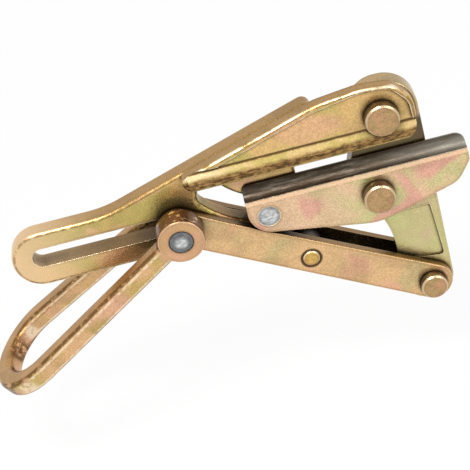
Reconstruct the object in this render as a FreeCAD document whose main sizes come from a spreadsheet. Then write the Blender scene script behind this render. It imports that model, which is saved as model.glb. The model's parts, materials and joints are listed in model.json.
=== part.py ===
import FreeCAD, Part
import Sketcher
import math
import os

from FreeCAD import Placement, Rotation, Vector

# A parallel-jaw cable grip, the hand tool that linemen call a come-along clamp.
# The cable runs along X between two jaws. Z is up, and the viewer's near side is -Y.
# A flat forging carries the upper jaw, a long slotted guide handle and a curved window.
# A swinging lever hangs from the upper jaw and carries the lower jaw. Two drawbars join
# the lever's foot to a rivet that slides in the handle's slot, and the pulling bail
# hangs on that rivet. Pulling the bail swings the lever and closes the lower jaw.
# Each outline is drawn about the upper pivot, at y = 0 in the middle of the forging,
# and is then moved so that the cable's centre line is the X axis.

doc = FreeCAD.newDocument("parallel_jaw_cable_grip")

# Driving sizes in millimetres, and angles in degrees
SIZES = [
    ("pivot_height", 23.0, "upper pivot above the cable's centre line"),
    ("cable_offset", 10.0, "cable's centre line in front of the forging's mid plane"),
    ("plate_depth", 12.0, "depth of the forging"),
    ("side_gap", 0.25, "running gap between flat faces"),
    ("running_gap", 0.05, "radial running clearance of a pin"),
    ("flange_depth", 7.4, "depth of the upper jaw in front of the forging"),
    ("flange_recess", 1.4, "depth of the recess in the upper jaw's face"),
    ("flange_round", 2.2, "rounding of the upper jaw's face edge"),
    ("flange_floor", 16.4, "upper jaw's lip below the upper pivot"),
    ("nose_reach", 18.3, "upper jaw's nose right of the upper pivot"),
    ("nose_top", 16.5, "nose's top edge above the upper pivot"),
    ("shoulder_end", 33.4, "shoulder's right end, left of the upper pivot"),
    ("shoulder_top", 15.7, "shoulder's top edge above the upper pivot"),
    ("shoulder_start", 1.0, "upper jaw's left end, left of the handle slot's inner centre"),
    ("shoulder_blend", 60.0, "curve from the handle's top into the shoulder"),
    ("lip_drop", 6.4, "lip's upper edge below the upper pivot"),
    ("lip_depth", 3.0, "lip's depth in front of the recess"),
    ("lip_slope", 5.3, "height of the lip's sloping top"),
    ("lip_round", 2.2, "rounding of the lip's lower edge"),
    ("spot_margin", 2.0, "spot face round the upper pin's head"),
    ("jaw_depth", 6.5, "depth of the lower jaw"),
    ("jaw_left_wall", 10.8, "lower jaw's left end past the guide rivet"),
    ("jaw_right", 51.4, "lower jaw's right end from its pin"),
    ("jaw_lip_rise", 11.0, "lower jaw's near lip above its pin"),
    ("jaw_back_rise", 21.6, "lower jaw's back lip above its pin"),
    ("jaw_belly", 18.4, "lower jaw's lowest corner below its pin"),
    ("lever_depth", 11.5, "depth of the swinging lever"),
    ("lever_recess", 1.2, "depth of the recess in the lever's face"),
    ("lever_neck_reach", 15.4, "lever's neck left of the drawbar pin"),
    ("lever_neck_drop", 32.4, "lever's neck below the lower jaw's pin"),
    ("lever_blend", 60.0, "curve of the lever's neck"),
    ("jaw_reach", 47.0, "upper pivot to the lower jaw's pin"),
    ("jaw_lean", 12.0, "lean of that reach from straight down, at rest"),
    ("foot_x", 9.6, "drawbar pin right of the upper pivot"),
    ("foot_drop", 66.427, "drawbar pin below the lower jaw's pin"),
    ("foot_radius", 12.8, "radius of the lever's foot"),
    ("foot_play", 2.3, "play of the drawbar pin's sleeve in the lever's foot"),
    ("foot_sleeve", 1.5, "wall of that sleeve"),
    ("guide_span", 59.4, "guide rivet left of the lower jaw's pin"),
    ("guide_rise", 3.2, "guide rivet above the lower jaw's pin"),
    ("window_half", 7.35, "half of the curved window's width"),
    ("window_open", 7.0, "window's open end, from straight down"),
    ("window_shut", 52.0, "window's closed end, from straight down"),
    ("rim_width", 6.1, "width of the rim below the window"),
    ("slot_rise", 8.373, "handle slot and bail rivet above the lower jaw's pin"),
    ("slot_half", 5.6, "half of the handle slot's width"),
    ("slot_step", 0.8, "handle slot's inner end, left of the window's end"),
    ("slot_run", 82.2, "handle slot's length between its end centres"),
    ("slot_spare", 7.1, "bail rivet at rest, left of the slot's inner end centre"),
    ("handle_end_wall", 11.4, "wall past the handle slot's outer end"),
    ("handle_top_wall", 9.7, "wall above the handle slot"),
    ("handle_bottom_wall", 12.2, "wall below the handle slot"),
    ("handle_neck", 43.8, "handle's straight top, past the slot's inner end centre"),
    ("web_margin", 9.6, "web's right edge, right of the window's centre"),
    ("handle_round", 2.6, "rounding of the forging's long edges"),
    ("bar_depth", 4.8, "depth of each drawbar"),
    ("bar_half", 10.3, "half of a drawbar's width"),
    ("bar_taper", 26.0, "length over which a drawbar's ends widen"),
    ("bar_blend", 120.0, "curve where they start to widen"),
    ("bail_tilt", 32.0, "bail below the handle's line, at rest"),
    ("bail_rod", 11.4, "bail rod's depth across its own plane"),
    ("bail_reach", 109.0, "bail rivet to the centre of the bail's crown"),
    ("crown_radius", 26.2, "bail crown's radius to the rod's middle"),
    ("rod_half", 5.7, "half of the bail rod's width in its plane"),
    ("eye_radius", 12.8, "radius of the bail's eyes"),
    ("eye_depth", 12.4, "depth of each eye"),
    ("eye_washer_depth", 0.8, "thickness of the washer between a drawbar and a bail eye"),
    ("eye_washer_radius", 9.0, "radius of that washer"),
    ("upper_head_radius", 9.2, "upper pin's head"),
    ("upper_head_height", 7.0, "height of that head"),
    ("upper_shank", 6.0, "radius of the upper pin"),
    ("jaw_head_radius", 8.6, "lower jaw pin's head"),
    ("jaw_head_height", 6.5, "height of that head"),
    ("jaw_shank", 5.5, "radius of the lower jaw's pin"),
    ("foot_head_radius", 7.4, "drawbar pin's head"),
    ("foot_head_height", 5.6, "height of that head"),
    ("foot_shank", 4.5, "radius of the drawbar pin"),
    ("head_chamfer", 0.9, "chamfer of the pin heads"),
    ("upset_height", 2.2, "height of an upset pin end"),
    ("washer_depth", 1.6, "thickness of a pin washer"),
    ("guide_head_radius", 5.9, "guide rivet's flush head"),
    ("guide_head_depth", 3.0, "depth of that head in the lower jaw"),
    ("guide_shank", 3.6, "radius of the guide rivet"),
    ("guide_washer_radius", 9.5, "radius of the washer behind the window"),
    ("bail_head_radius", 6.2, "bail rivet's domed head"),
    ("bail_head_sink", 3.0, "depth of that head in the eye"),
    ("bail_shank", 4.0, "radius of the bail rivet"),
    ("slot_bush_radius", 5.45, "radius of the bush in the handle's slot"),
    ("mid_share", 0.49, "middle rivet, as a share of the way to the bail rivet"),
    ("mid_drop", 1.2, "middle rivet below the line of the drawbar's other two"),
    ("mid_head_radius", 4.7, "middle rivet's domed head"),
    ("mid_shank", 3.0, "radius of the middle rivet"),
    ("mid_spacer_radius", 8.2, "radius of the spacer between the drawbars"),
]

sheet = doc.addObject("Spreadsheet::Sheet", "Sizes")
for row, (alias, number, meaning) in enumerate(SIZES, start=1):
    sheet.set(f"A{row}", meaning)
    sheet.set(f"B{row}", str(number))
    sheet.setAlias(f"B{row}", alias)
doc.recompute()
size = {alias: float(sheet.get(alias)) for alias, _, _ in SIZES}

# Places in the plane of the outlines, worked out from the sizes
HALF_PLATE = size["plate_depth"] / 2
UPPER_PIN = (0.0, 0.0)
JAW_PIN = (
    -size["jaw_reach"] * math.sin(math.radians(size["jaw_lean"])),
    -size["jaw_reach"] * math.cos(math.radians(size["jaw_lean"])),
)
FOOT_PIN = (size["foot_x"], JAW_PIN[1] - size["foot_drop"])
GUIDE_PIN = (JAW_PIN[0] - size["guide_span"], JAW_PIN[1] + size["guide_rise"])
WINDOW_CENTRE = (-size["guide_span"], size["guide_rise"])
WINDOW_END = (
    WINDOW_CENTRE[0]
    - size["jaw_reach"] * math.sin(math.radians(size["window_shut"]))
    - size["window_half"]
)
SLOT_NEAR = WINDOW_END - size["slot_step"] - size["slot_half"]
SLOT_FAR = SLOT_NEAR - size["slot_run"]
BAIL_PIN = (SLOT_NEAR - size["slot_spare"], JAW_PIN[1] + size["slot_rise"])
MID_PIN = (
    FOOT_PIN[0] + size["mid_share"] * (BAIL_PIN[0] - FOOT_PIN[0]),
    FOOT_PIN[1] + size["mid_share"] * (BAIL_PIN[1] - FOOT_PIN[1]) - size["mid_drop"],
)
HOME = Vector(0, size["cable_offset"], size["pivot_height"])

# Faces along Y, all measured from the forging's mid plane, near side negative
FLANGE_FACE = -HALF_PLATE - size["flange_depth"]
RECESS_FACE = FLANGE_FACE + size["flange_recess"]
LIP_FACE = RECESS_FACE - size["lip_depth"]
JAW_BACK = -HALF_PLATE - 2 * size["side_gap"]
JAW_FACE = JAW_BACK - size["jaw_depth"]
HALF_LEVER = size["lever_depth"] / 2
BAR_INNER = HALF_PLATE + size["side_gap"]
BAR_OUTER = BAR_INNER + size["bar_depth"]
EYE_INNER = BAR_OUTER + size["eye_washer_depth"] + 2 * size["side_gap"]
EYE_OUTER = EYE_INNER + size["eye_depth"]

subparts = []


def unit(start, end):
    # Direction and distance from one outline point to the next
    step = (end[0] - start[0], end[1] - start[1])
    length = math.hypot(*step)
    return (step[0] / length, step[1] / length), length


def rounded_outline(corners):
    # Lines and tangent arcs of a closed outline, given as corners (x, z, radius)
    pieces = []
    count = len(corners)
    ends = []
    for index, (x, z, radius) in enumerate(corners):
        before = corners[index - 1]
        after = corners[(index + 1) % count]
        back, _ = unit((x, z), before)
        ahead, _ = unit((x, z), after)
        half = math.acos(max(-1.0, min(1.0, back[0] * ahead[0] + back[1] * ahead[1]))) / 2
        reach = radius / math.tan(half)
        middle = ((back[0] + ahead[0]) / 2, (back[1] + ahead[1]) / 2)
        length = math.hypot(*middle)
        depth = radius / math.sin(half) - radius
        start = Vector(x + back[0] * reach, z + back[1] * reach, 0)
        end = Vector(x + ahead[0] * reach, z + ahead[1] * reach, 0)
        crest = Vector(x + middle[0] / length * depth, z + middle[1] / length * depth, 0)
        ends.append((start, crest, end))
    for index, (start, crest, end) in enumerate(ends):
        if start.distanceToPoint(end) > 1e-6:
            pieces.append(Part.Arc(start, crest, end))
        following = ends[(index + 1) % count][0]
        if end.distanceToPoint(following) > 1e-6:
            pieces.append(Part.LineSegment(end, following))
    return pieces


def tangent_point(start, centre, radius):
    # Where a line from a point with a positive side step touches a circle
    (back_x, back_z), distance = unit(centre, start)
    turn = -math.acos(radius / distance)
    return (
        centre[0] + radius * (back_x * math.cos(turn) - back_z * math.sin(turn)),
        centre[1] + radius * (back_x * math.sin(turn) + back_z * math.cos(turn)),
    )


def polar(centre, radius, angle):
    # A point at an angle from straight down, swinging to the left
    turn = math.radians(angle)
    return Vector(centre[0] - radius * math.sin(turn), centre[1] - radius * math.cos(turn), 0)


def curved_slot(centre, radius, half, start, finish):
    # A slot that follows an arc, with round ends
    middle = (start + finish) / 2
    lap = math.degrees(half / radius)
    return [
        Part.Arc(
            polar(centre, radius + half, start),
            polar(centre, radius + half, middle),
            polar(centre, radius + half, finish),
        ),
        Part.Arc(
            polar(centre, radius + half, finish),
            polar(centre, radius, finish + lap),
            polar(centre, radius - half, finish),
        ),
        Part.Arc(
            polar(centre, radius - half, finish),
            polar(centre, radius - half, middle),
            polar(centre, radius - half, start),
        ),
        Part.Arc(
            polar(centre, radius - half, start),
            polar(centre, radius, start - lap),
            polar(centre, radius + half, start),
        ),
    ]


def straight_slot(x_left, x_right, z, half):
    # A slot along X with round ends
    return [
        Part.LineSegment(Vector(x_left, z + half, 0), Vector(x_right, z + half, 0)),
        Part.Arc(
            Vector(x_right, z + half, 0), Vector(x_right + half, z, 0), Vector(x_right, z - half, 0)
        ),
        Part.LineSegment(Vector(x_right, z - half, 0), Vector(x_left, z - half, 0)),
        Part.Arc(
            Vector(x_left, z - half, 0), Vector(x_left - half, z, 0), Vector(x_left, z + half, 0)
        ),
    ]


def closed_lines(points):
    # A closed outline of straight lines
    return [
        Part.LineSegment(Vector(*start, 0), Vector(*end, 0))
        for start, end in zip(points, points[1:] + points[:1])
    ]


def origin_plane(body, role):
    # One of the body's own origin planes
    return next(item for item in body.Origin.OriginFeatures if item.Role == role)


def sketch_on(body, name, role, height, pieces):
    # A sketch on an origin plane, shifted along the plane's normal
    sketch = body.newObject("Sketcher::SketchObject", name)
    sketch.AttachmentSupport = [(origin_plane(body, role), "")]
    sketch.MapMode = "FlatFace"
    sketch.AttachmentOffset = Placement(Vector(0, 0, height), Rotation())
    for piece in pieces:
        sketch.addGeometry(piece, False)
    return sketch


def round_hole(sketch, centre, radius_rule):
    # A circle whose radius is bound to the sheet
    circle = Part.Circle(Vector(centre[0], centre[1], 0), Vector(0, 0, 1), 1.0)
    index = sketch.addGeometry(circle, False)
    sketch.addConstraint(Sketcher.Constraint("DistanceX", -1, 1, index, 3, centre[0]))
    sketch.addConstraint(Sketcher.Constraint("DistanceY", -1, 1, index, 3, centre[1]))
    radius = sketch.addConstraint(Sketcher.Constraint("Radius", index, 1.0))
    sketch.setExpression(f"Constraints[{radius}]", radius_rule)


def pad(body, name, sketch, rule, symmetric=False):
    # A pad along the sketch's normal, its length bound to the sheet
    feature = body.newObject("PartDesign::Pad", name)
    feature.Profile = sketch
    feature.SideType = "Symmetric" if symmetric else "One side"
    feature.setExpression("Length", rule)
    body.Tip = feature
    doc.recompute()
    return feature


def pocket(body, name, sketch, rule, reverse=False, through=False, symmetric=False):
    # A cut from the sketch, checked by the volume that it takes away
    before = body.Shape.Volume
    feature = body.newObject("PartDesign::Pocket", name)
    feature.Profile = sketch
    feature.Reversed = reverse
    if through:
        feature.Type = "ThroughAll"
        feature.SideType = "Symmetric" if symmetric else "One side"
    else:
        feature.SideType = "Symmetric" if symmetric else "One side"
        feature.setExpression("Length", rule)
    body.Tip = feature
    doc.recompute()
    if body.Shape.Volume > before - 1e-3:
        raise RuntimeError(f"{name} cuts nothing")
    return feature


def edges_where(shape, test):
    # Names of the edges whose middle point passes the test
    names = []
    for index, edge in enumerate(shape.Edges, start=1):
        first, last = edge.ParameterRange
        if test(edge, edge.valueAt((first + last) / 2)):
            names.append(f"Edge{index}")
    return names


def flat_at(edge, y):
    # True for an edge that lies wholly in the plane of that depth
    box = edge.BoundBox
    return abs(box.YMin - y) < 0.01 and abs(box.YMax - y) < 0.01


def round_edges(body, name, test, rule):
    # A fillet on the edges that pass the test
    base = body.Tip
    feature = body.newObject("PartDesign::Fillet", name)
    feature.Base = (base, edges_where(base.Shape, test))
    feature.setExpression("Radius", rule)
    body.Tip = feature
    doc.recompute()
    return feature


def new_body(label):
    # An empty body that is one piece of the grip
    body = doc.addObject("PartDesign::Body", label)
    body.Label = label
    return body


def finish(item, label):
    # Put a finished piece in place and list it
    item.Label = label
    item.Placement = Placement(HOME, Rotation()).multiply(item.Placement)
    subparts.append(item)
    return item


def rod(name, centre, start, radius_rule, length_rule):
    # A cylinder along Y that starts at a depth
    item = doc.addObject("Part::Cylinder", name)
    item.setExpression("Radius", radius_rule)
    item.setExpression("Height", length_rule)
    item.Placement = Placement(
        Vector(centre[0], start, centre[1]), Rotation(Vector(1, 0, 0), -90)
    )
    return item


def cap(name, centre, start, radius, rise, outward):
    # A shallow round cap on a flat face, pointing outward along Y
    ball = (radius**2 + rise**2) / (2 * rise)
    item = doc.addObject("Part::Sphere", name)
    item.Radius = ball
    item.Angle1 = math.degrees(math.acos(radius / ball))
    item.Angle2 = 90
    turn = -90 if outward > 0 else 90
    item.Placement = Placement(
        Vector(centre[0], start - outward * (ball - rise), centre[1]),
        Rotation(Vector(1, 0, 0), turn),
    )
    return item


def joined(label, pieces):
    # Coaxial lengths of one turned piece, made into a single solid
    item = doc.addObject("Part::MultiFuse", label + "_turned")
    item.Shapes = pieces
    item.Refine = True
    doc.recompute()
    return item


def chamfered(label, base, test, size_rule):
    # A chamfer on the edges that pass the test
    item = doc.addObject("Part::Chamfer", label + "_bevelled")
    item.Base = base
    width = size[size_rule]
    picks = edges_where(base.Shape, test)
    item.Edges = [(int(name[4:]), width, width) for name in picks]
    doc.recompute()
    return item


def bored(label, outer, inner):
    # A ring: the outer rod less the inner one
    item = doc.addObject("Part::Cut", label + "_bored")
    item.Base = outer
    item.Tool = inner
    doc.recompute()
    return item


# The forging: guide handle, web with its curved window, and the upper jaw
def grip_body():
    body = new_body("grip_body")
    reach = size["jaw_reach"]
    rim = reach + size["window_half"] + size["rim_width"]
    centre_x, centre_z = WINDOW_CENTRE
    rim_turn = math.radians(18)
    slot_z = BAIL_PIN[1]
    left = SLOT_FAR - size["slot_half"] - size["handle_end_wall"]
    top = slot_z + size["slot_half"] + size["handle_top_wall"]
    bottom = slot_z - size["slot_half"] - size["handle_bottom_wall"]
    end_round = (top - bottom) / 2 - 0.1
    web_right = centre_x + size["web_margin"]
    crest, crest_z = -size["shoulder_end"], size["shoulder_top"]
    jaw_left = SLOT_NEAR - size["shoulder_start"]
    nose, nose_z = size["nose_reach"], size["nose_top"]
    rim_left = (centre_x - rim * math.tan(rim_turn), centre_z - rim)
    floor, lip_top = -size["flange_floor"], -size["lip_drop"]
    rim_end = (
        rim_left[0] - rim * math.tan(rim_turn) * math.cos(2 * rim_turn) - 2.4,
        rim_left[1] + rim * math.tan(rim_turn) * math.sin(2 * rim_turn) + 1.75,
    )
    web = sketch_on(
        body,
        "web_outline",
        "XZ_Plane",
        0,
        rounded_outline(
            [
                (left, top, end_round),
                (SLOT_NEAR - size["handle_neck"], top, size["shoulder_blend"]),
                (crest, crest_z, 4.5),
                (crest - 1.1, crest_z - 12.7, 12),
                (web_right, -15.0, 14),
                (web_right, rim_left[1], 9),
                (rim_left[0], rim_left[1], rim),
                (rim_end[0], rim_end[1], 3),
                (SLOT_NEAR - 2.5, bottom, 9),
                (left, bottom, end_round),
            ]
        )
        + straight_slot(SLOT_FAR, SLOT_NEAR, slot_z, size["slot_half"])
        + curved_slot(
            WINDOW_CENTRE, reach, size["window_half"], size["window_open"], size["window_shut"]
        ),
    )
    pad(body, "web", web, "Sizes.plate_depth", symmetric=True)
    round_edges(
        body,
        "web_rounding",
        lambda edge, point: (flat_at(edge, -HALF_PLATE) or flat_at(edge, HALF_PLATE))
        and (point.x < SLOT_NEAR - 15 or point.z < slot_z - size["slot_half"] - 0.5)
        and not (abs(point.z - slot_z) < size["slot_half"] + 0.5 and point.x > left + 5),
        "Sizes.handle_round",
    )
    flange = sketch_on(
        body,
        "upper_jaw_outline",
        "XZ_Plane",
        HALF_PLATE,
        rounded_outline(
            [
                (jaw_left, crest_z - 24.5, 4),
                (crest, crest_z, 40),
                (crest + 25.4, nose_z + 2.0, 45),
                (nose - 9.7, nose_z, 11),
                (nose, nose_z - 10.5, 13),
                (nose, floor, 13),
                (jaw_left + 4.2, floor, 3),
            ]
        ),
    )
    pad(body, "upper_jaw", flange, "Sizes.flange_depth")
    round_edges(
        body,
        "upper_jaw_rounding",
        lambda edge, point: flat_at(edge, FLANGE_FACE),
        "Sizes.flange_round",
    )
    recess = sketch_on(
        body,
        "recess_outline",
        "XZ_Plane",
        -FLANGE_FACE,
        rounded_outline(
            [
                (jaw_left + 18.2, lip_top, 0.8),
                (crest - 0.6, crest_z - 3.5, 40),
                (crest + 25.4, nose_z + 0.1, 35),
                (nose - 11.1, nose_z - 1.3, 10),
                (nose - 2.9, nose_z - 11.3, 11),
                (nose - 2.1, lip_top, 1),
            ]
        ),
    )
    pocket(body, "recess", recess, "Sizes.flange_recess")
    lip = sketch_on(
        body,
        "jaw_lip_outline",
        "XZ_Plane",
        -RECESS_FACE,
        rounded_outline(
            [
                (jaw_left + 4.7, lip_top, 2),
                (nose - 0.7, lip_top, 0.5),
                (nose - 0.7, floor, 9),
                (jaw_left + 5.7, floor, 3),
            ]
        ),
    )
    pad(body, "jaw_lip", lip, "Sizes.lip_depth")
    turn = size["lip_round"]
    slope = sketch_on(
        body,
        "lip_section",
        "YZ_Plane",
        centre_x,
        closed_lines(
            [
                (RECESS_FACE, lip_top),
                (LIP_FACE, lip_top - size["lip_slope"]),
                (LIP_FACE - 1, lip_top - size["lip_slope"]),
                (LIP_FACE - 1, lip_top + 1),
                (RECESS_FACE, lip_top + 1),
            ]
        )
        + [
            Part.Arc(
                Vector(LIP_FACE, floor + turn, 0),
                Vector(LIP_FACE + 0.293 * turn, floor + 0.293 * turn, 0),
                Vector(LIP_FACE + turn, floor, 0),
            ),
            Part.LineSegment(Vector(LIP_FACE + turn, floor, 0), Vector(LIP_FACE + turn, floor - 1, 0)),
            Part.LineSegment(
                Vector(LIP_FACE + turn, floor - 1, 0), Vector(LIP_FACE - 1, floor - 1, 0)
            ),
            Part.LineSegment(
                Vector(LIP_FACE - 1, floor - 1, 0), Vector(LIP_FACE - 1, floor + turn, 0)
            ),
            Part.LineSegment(
                Vector(LIP_FACE - 1, floor + turn, 0), Vector(LIP_FACE, floor + turn, 0)
            ),
        ],
    )
    pocket(body, "lip_slope", slope, "170", through=True, symmetric=True)
    spot = sketch_on(body, "upper_pin_spot", "XZ_Plane", -LIP_FACE, [])
    round_hole(spot, UPPER_PIN, "Sizes.upper_head_radius + Sizes.spot_margin")
    pocket(body, "upper_pin_seat", spot, "Sizes.lip_depth")
    groove = sketch_on(
        body,
        "upper_groove_section",
        "YZ_Plane",
        centre_x,
        [
            Part.LineSegment(
                Vector(-HALF_PLATE, -size["flange_floor"] - 1, 0), Vector(-HALF_PLATE, -11.0, 0)
            ),
            Part.Arc(
                Vector(-HALF_PLATE, -11.0, 0),
                Vector(-HALF_PLATE - 5.0, -12.6, 0),
                Vector(-HALF_PLATE - 6.6, -size["flange_floor"] - 1, 0),
            ),
            Part.LineSegment(
                Vector(-HALF_PLATE - 6.6, -size["flange_floor"] - 1, 0),
                Vector(-HALF_PLATE, -size["flange_floor"] - 1, 0),
            ),
        ],
    )
    pocket(body, "upper_groove", groove, "170", through=True, symmetric=True)
    bore = sketch_on(body, "upper_bore_circle", "XZ_Plane", 0, [])
    round_hole(bore, UPPER_PIN, "Sizes.upper_shank")
    pocket(body, "upper_bore", bore, "60", through=True, symmetric=True)
    return finish(body, "grip_body")


# The lever that hangs from the upper jaw and carries the lower jaw
def swing_lever():
    body = new_body("swing_lever")
    foot_x, foot_z = FOOT_PIN
    foot = size["foot_radius"]
    neck_z = JAW_PIN[1] - size["lever_neck_drop"]
    outline = sketch_on(
        body,
        "lever_outline",
        "XZ_Plane",
        0,
        rounded_outline(
            [
                (-15.4, 15.6, 16.5),
                (20.6, 15.6, 18),
                (foot_x + foot, foot_z - foot, foot),
                (foot_x - foot - 1.5, foot_z - foot, foot - 1),
                (foot_x - size["lever_neck_reach"], neck_z, size["lever_blend"]),
                (JAW_PIN[0] - 1.0, neck_z + 14.9, 14),
                (JAW_PIN[0] - 12.2, JAW_PIN[1] - 8.5, 9),
                (JAW_PIN[0] - 12.2, JAW_PIN[1] + 14.0, 14),
                (-15.4, -14.0, 20),
            ]
        ),
    )
    round_hole(outline, UPPER_PIN, "Sizes.upper_shank + Sizes.running_gap")
    round_hole(outline, JAW_PIN, "Sizes.jaw_shank")
    round_hole(outline, FOOT_PIN, "Sizes.foot_shank + Sizes.foot_sleeve + Sizes.foot_play")
    pad(body, "lever", outline, "Sizes.lever_depth", symmetric=True)
    round_edges(
        body,
        "lever_rounding",
        lambda edge, point: (flat_at(edge, -HALF_LEVER) or flat_at(edge, HALF_LEVER))
        and point.x > 17.0,
        "Sizes.lever_recess",
    )
    recess = sketch_on(
        body,
        "lever_recess_outline",
        "XZ_Plane",
        HALF_LEVER,
        rounded_outline(
            [
                (-40.0, JAW_PIN[1] - 19.0, 1),
                (16.6, JAW_PIN[1] - 19.0, 1),
                (foot_x + foot - 3.2, foot_z + 13.0, 2),
                (-40.0, foot_z + 21.5, 1),
            ]
        ),
    )
    pocket(body, "lever_recess", recess, "Sizes.lever_recess")
    return finish(body, "swing_lever")


# The lower jaw: a plate with a low near lip, a groove and a tall back lip
def lower_jaw():
    body = new_body("lower_jaw")
    pin_x, pin_z = JAW_PIN
    back = pin_z + size["jaw_back_rise"]
    left, right = GUIDE_PIN[0] - size["jaw_left_wall"], pin_x + size["jaw_right"]
    belly = pin_z - size["jaw_belly"]
    outline = sketch_on(
        body,
        "jaw_outline",
        "XZ_Plane",
        -JAW_BACK,
        rounded_outline(
            [
                (left, back, 3.5),
                (left - 0.4, pin_z - 5.3, 14),
                (pin_x - 2.2, belly, 30),
                (right - 8.1, pin_z - 5.0, 12),
                (right, pin_z + 6.5, 5),
                (right - 0.6, back, 6),
            ]
        ),
    )
    round_hole(outline, JAW_PIN, "Sizes.jaw_shank + Sizes.running_gap")
    round_hole(outline, GUIDE_PIN, "Sizes.guide_shank")
    pad(body, "jaw_plate", outline, "Sizes.jaw_depth")
    lip = pin_z + size["jaw_lip_rise"]
    section = sketch_on(
        body,
        "jaw_groove_section",
        "YZ_Plane",
        pin_x,
        [
            Part.LineSegment(Vector(JAW_FACE - 1, back + 6, 0), Vector(JAW_FACE - 1, lip - 1.6, 0)),
            Part.LineSegment(Vector(JAW_FACE - 1, lip - 1.6, 0), Vector(JAW_FACE + 1.3, lip + 2.9, 0)),
            Part.LineSegment(
                Vector(JAW_FACE + 1.3, lip + 2.9, 0), Vector(JAW_FACE + 2.3, lip + 2.9, 0)
            ),
            Part.Arc(
                Vector(JAW_FACE + 2.3, lip + 2.9, 0),
                Vector(JAW_FACE + 4.6, lip + 4.0, 0),
                Vector(JAW_BACK - 1.2, back + 0.2, 0),
            ),
            Part.LineSegment(Vector(JAW_BACK - 1.2, back + 0.2, 0), Vector(JAW_BACK - 1.2, back + 6, 0)),
            Part.LineSegment(Vector(JAW_BACK - 1.2, back + 6, 0), Vector(JAW_FACE - 1, back + 6, 0)),
        ],
    )
    pocket(body, "jaw_groove", section, "170", through=True, symmetric=True)
    sink = sketch_on(body, "guide_head_circle", "XZ_Plane", -JAW_FACE, [])
    round_hole(sink, GUIDE_PIN, "Sizes.guide_head_radius")
    pocket(body, "guide_head_seat", sink, "Sizes.guide_head_depth")
    round_edges(
        body,
        "jaw_rounding",
        lambda edge, point: flat_at(edge, JAW_FACE)
        and math.hypot(point.x - GUIDE_PIN[0], point.z - GUIDE_PIN[1]) > 7
        and math.hypot(point.x - JAW_PIN[0], point.z - JAW_PIN[1]) > 7
        and point.z < lip - 1,
        "1",
    )
    return finish(body, "lower_jaw")


# The two drawbars, one each side of the forging and the lever
def drawbar(label, near):
    body = new_body(label)
    (along_x, along_z), length = unit(FOOT_PIN, BAIL_PIN)
    across_x, across_z = -along_z, along_x
    if across_z < 0:
        across_x, across_z = -across_x, -across_z
    half = size["bar_half"]

    def corner(share, side, radius):
        # A corner at a distance along the bar and a side step across it
        return (
            FOOT_PIN[0] + along_x * share + across_x * side,
            FOOT_PIN[1] + along_z * share + across_z * side,
            radius,
        )

    outline = rounded_outline(
        [
            corner(-half - 0.6, half + 1.0, half + 0.2),
            corner(size["bar_taper"], half + 0.2, size["bar_blend"]),
            corner(length - size["bar_taper"], half - 0.9, size["bar_blend"]),
            corner(length + half, half, half - 0.6),
            corner(length + half, -half, half - 0.6),
            corner(-half - 0.6, -half - 0.2, half + 0.2),
        ]
    )
    sketch = sketch_on(body, label + "_outline", "XZ_Plane", BAR_INNER if near else -BAR_OUTER, outline)
    round_hole(sketch, FOOT_PIN, "Sizes.foot_shank")
    round_hole(sketch, MID_PIN, "Sizes.mid_shank")
    round_hole(sketch, BAIL_PIN, "Sizes.bail_shank + Sizes.running_gap")
    pad(body, label + "_plate", sketch, "Sizes.bar_depth")
    face = -BAR_OUTER if near else BAR_OUTER
    round_edges(
        body,
        label + "_rounding",
        lambda edge, point: flat_at(edge, face)
        and min(
            math.hypot(point.x - pin[0], point.z - pin[1]) for pin in (FOOT_PIN, MID_PIN, BAIL_PIN)
        )
        > 8,
        "0.8",
    )
    return finish(body, label)


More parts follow.
